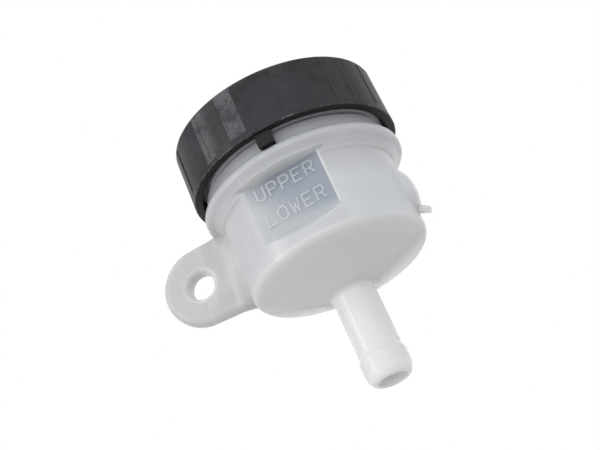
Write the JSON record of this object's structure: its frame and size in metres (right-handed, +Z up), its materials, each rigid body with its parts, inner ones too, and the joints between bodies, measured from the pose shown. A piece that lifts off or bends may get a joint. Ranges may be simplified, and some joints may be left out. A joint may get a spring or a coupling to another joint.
{
  "type": "brake fluid reservoir",
  "caption": "Remote brake fluid reservoir: translucent round bottle with a level window, bolt ear and hose spigot below, black screw cap with plate and rubber diaphragm.",
  "frame": {"origin": "centre of the bolt hole in the ear, at the middle of the ear's thickness", "axes": "+Z up along the tank axis to the cap, -Y out of the level window and the ear's front face, +X from the ear to the tank"},
  "size_m": [0.0591, 0.0452, 0.0629],
  "materials": {
    "milky_plastic": "natural translucent polypropylene, satin",
    "black_plastic": "black, smooth valleys and finely frosted ribs",
    "white_plastic": "moulded, matt",
    "black_rubber": "matt"
  },
  "bodies": {
    "reservoir": {"reservoir_body": "milky_plastic", "diaphragm": "black_rubber"},
    "plate": {"diaphragm_plate": "white_plastic"},
    "cap": {"cap": "black_plastic"}
  },
  "joints": [
    {"name": "cap_lift", "type": "slide", "parent": "reservoir", "child": "plate", "axis": [0, 0, 1], "range_m": [0, 0.012]},
    {"name": "cap_turn", "type": "hinge", "parent": "plate", "child": "cap", "pos_m": [0.0282, 0, 0], "axis": [0, 0, 1], "range_deg": [0, 1440]}
  ],
  "couplings": [
    {"joint": "cap_lift", "follows": "cap_turn", "m_per_rad": 0.00047746}
  ]
}
